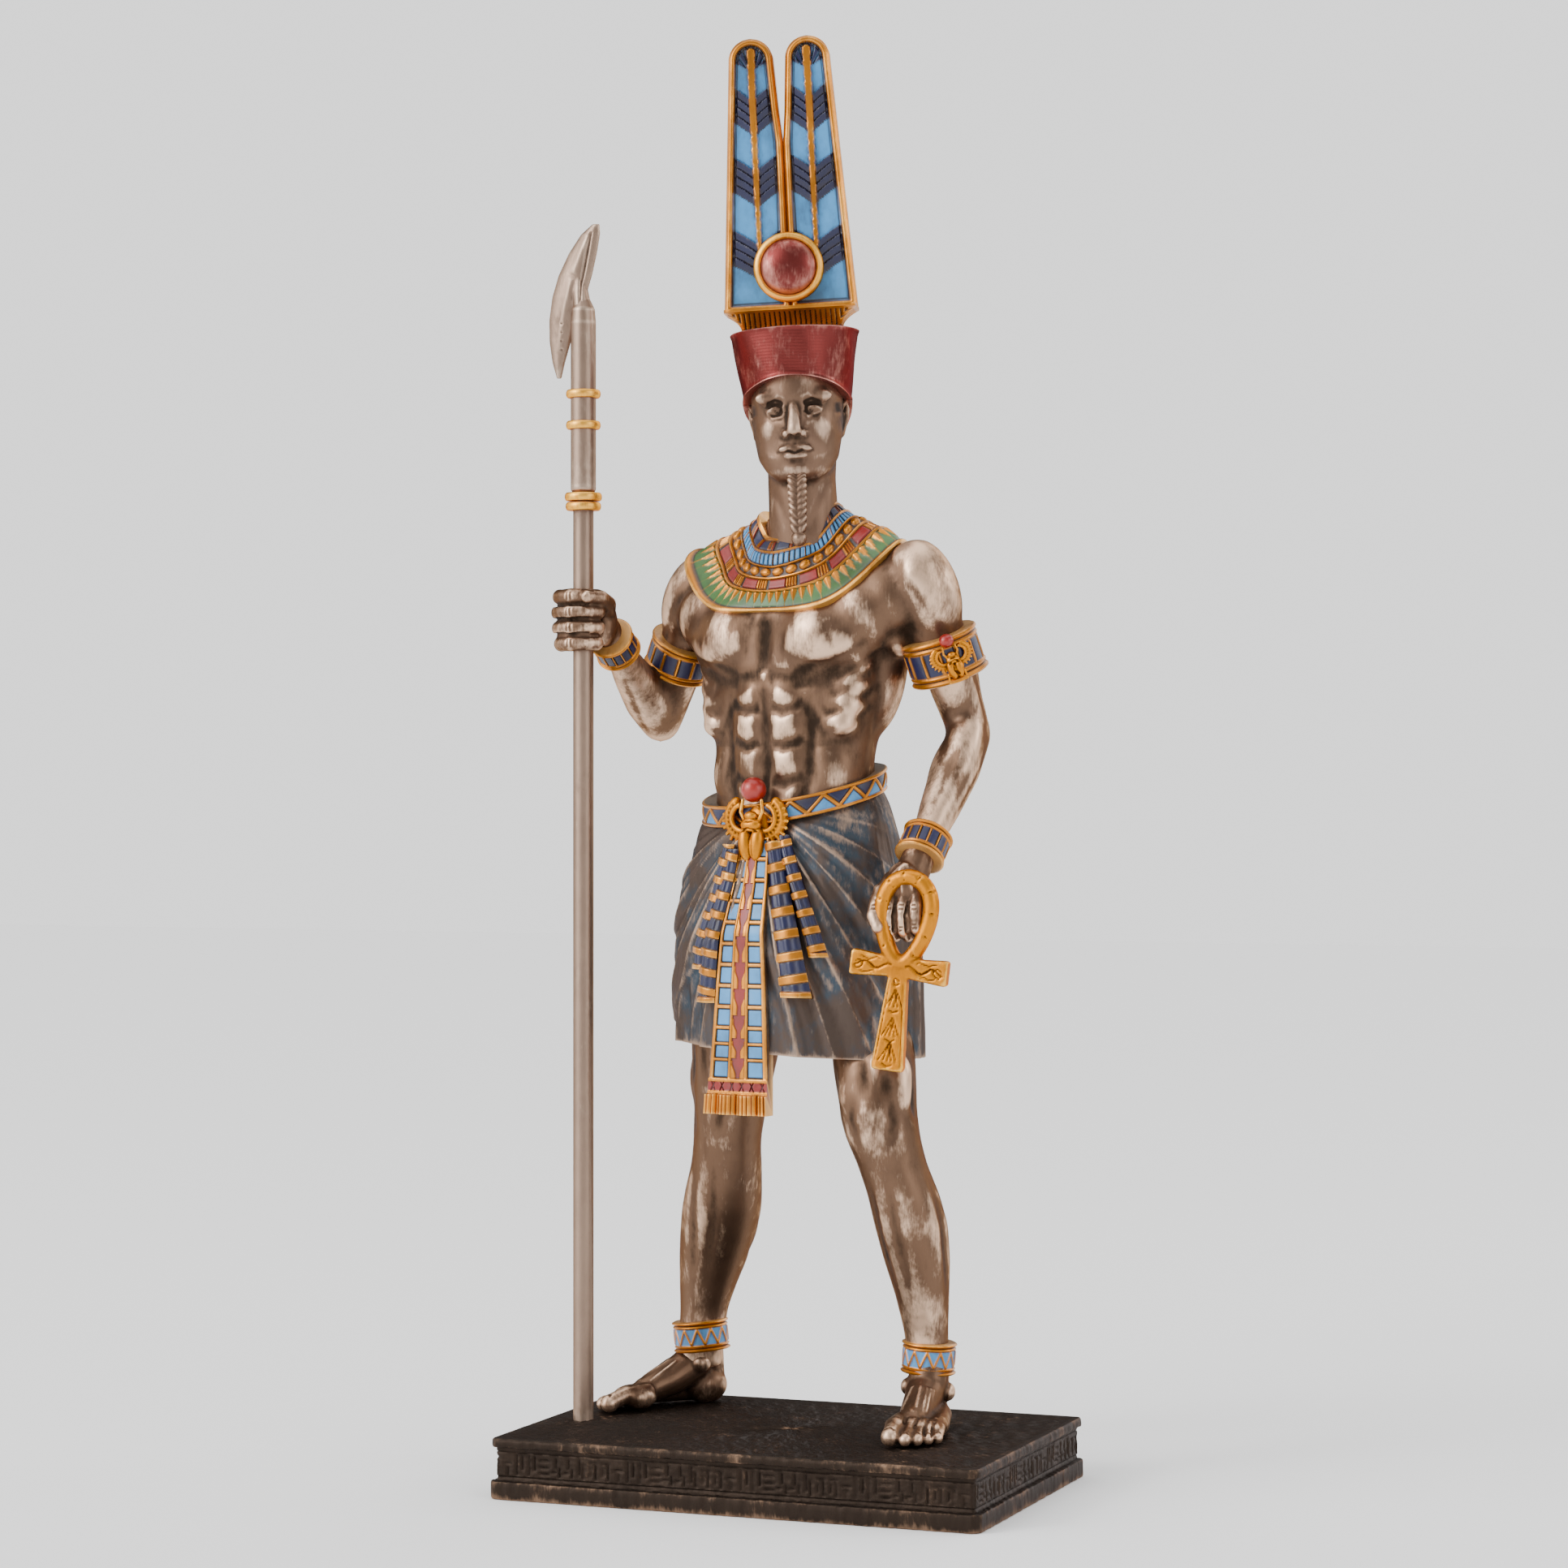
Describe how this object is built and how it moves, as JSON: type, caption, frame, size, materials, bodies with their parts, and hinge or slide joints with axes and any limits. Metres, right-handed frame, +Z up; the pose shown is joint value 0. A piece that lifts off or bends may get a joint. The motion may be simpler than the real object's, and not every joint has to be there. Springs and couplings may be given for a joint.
{
  "type": "amun-ra statue",
  "caption": "Cold-cast bronze figurine of a plumed god with painted collar and kilt, holding a staff and an ankh, on a stepped plinth.",
  "frame": {"origin": "centre of the plinth's underside", "axes": "+Z up, the figure faces -Y and +X is to the figure's left"},
  "size_m": [0.116, 0.0778, 0.3306],
  "materials": {
    "cold_cast_bronze": "cold-cast bronze resin, dark in the hollows and rubbed bright on the heights, with painted ornament",
    "staff_bronze": "pale satin bronze with gold rings",
    "dark_bronze": "near-black bronze resin with rubbed edges"
  },
  "bodies": {
    "root": {"amun_ra_figure": "cold_cast_bronze", "staff": "staff_bronze", "plinth": "dark_bronze"}
  },
  "joints": []
}
